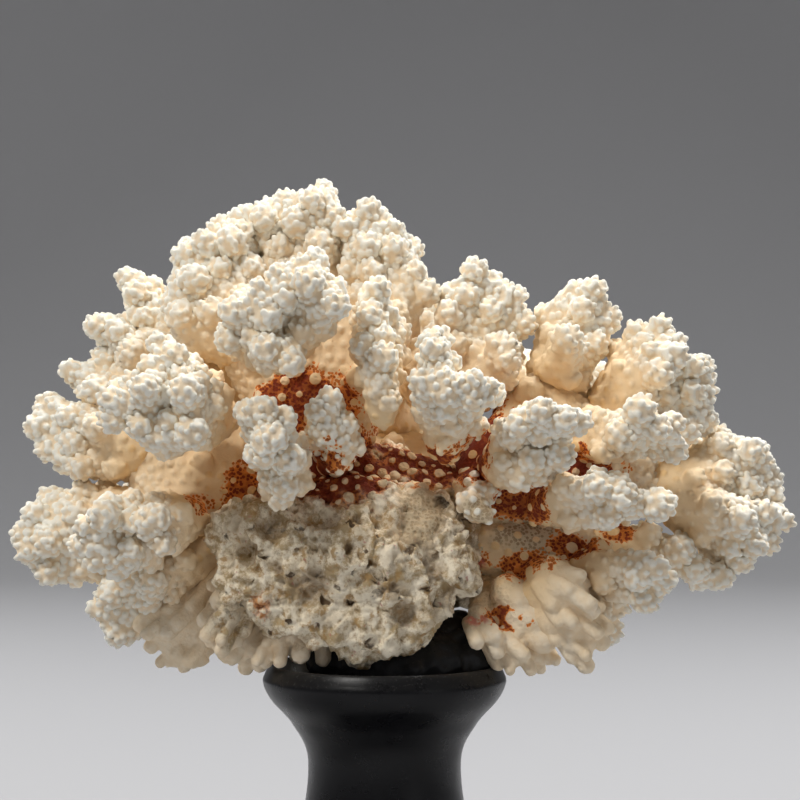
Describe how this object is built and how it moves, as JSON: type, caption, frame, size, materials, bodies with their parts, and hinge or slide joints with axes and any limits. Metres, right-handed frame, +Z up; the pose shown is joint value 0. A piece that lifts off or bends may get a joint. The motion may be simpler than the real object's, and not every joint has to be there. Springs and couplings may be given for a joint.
{
  "type": "branching coral on stand",
  "caption": "Dried branching coral skeleton bedded in black putty on a turned black wooden display stand.",
  "frame": {"origin": "centre of the stand's flat underside", "axes": "+Z up along the stand's axis; -Y towards the broken stem, the side the coral is shown from; +X to the right from there"},
  "size_m": [0.2381, 0.1301, 0.2375],
  "materials": {
    "coral": "matte, chalky, covered with small warts and pores",
    "crust": "rough weathered crust",
    "black_paint": "satin black paint over turned wood",
    "putty": "wrinkled, slightly glossy"
  },
  "bodies": {
    "root": {"stand": "black_paint", "stem": "crust", "crown_limb": "coral", "left_limb": "coral", "right_limb": "coral", "lower_right_limb": "coral", "back_limb": "coral", "crown_left": "coral", "crown_top": "coral", "crown_front": "coral", "crown_right": "coral", "crown_ridge": "coral", "middle_fan": "coral", "middle_ridge": "coral", "upper_right_fan": "coral", "right_shoulder": "coral", "right_shoulder_front": "coral", "right_reach": "coral", "right_front": "coral", "front_right": "coral", "lower_right": "coral", "lower_right_front": "coral", "lower_right_smooth": "coral", "foot_right": "coral", "left_spire": "coral", "left_upper": "coral", "left_front": "coral", "left_reach": "coral", "lower_left_outer": "coral", "lower_left_front": "coral", "lower_left_droop": "coral", "foot_left_outer": "coral", "foot_left_stub": "coral", "foot_left": "coral", "front_left": "coral", "front_spire": "coral", "front_stub": "coral", "back_crown": "coral", "back_crown_right": "coral", "back_crown_left": "coral", "back_middle": "coral", "back_left": "coral", "back_left_low": "coral", "back_right": "coral", "back_right_reach": "coral", "back_right_low": "coral", "back_low_left": "coral", "back_low_middle": "coral", "back_low_right": "coral", "putty": "putty"}
  },
  "joints": []
}
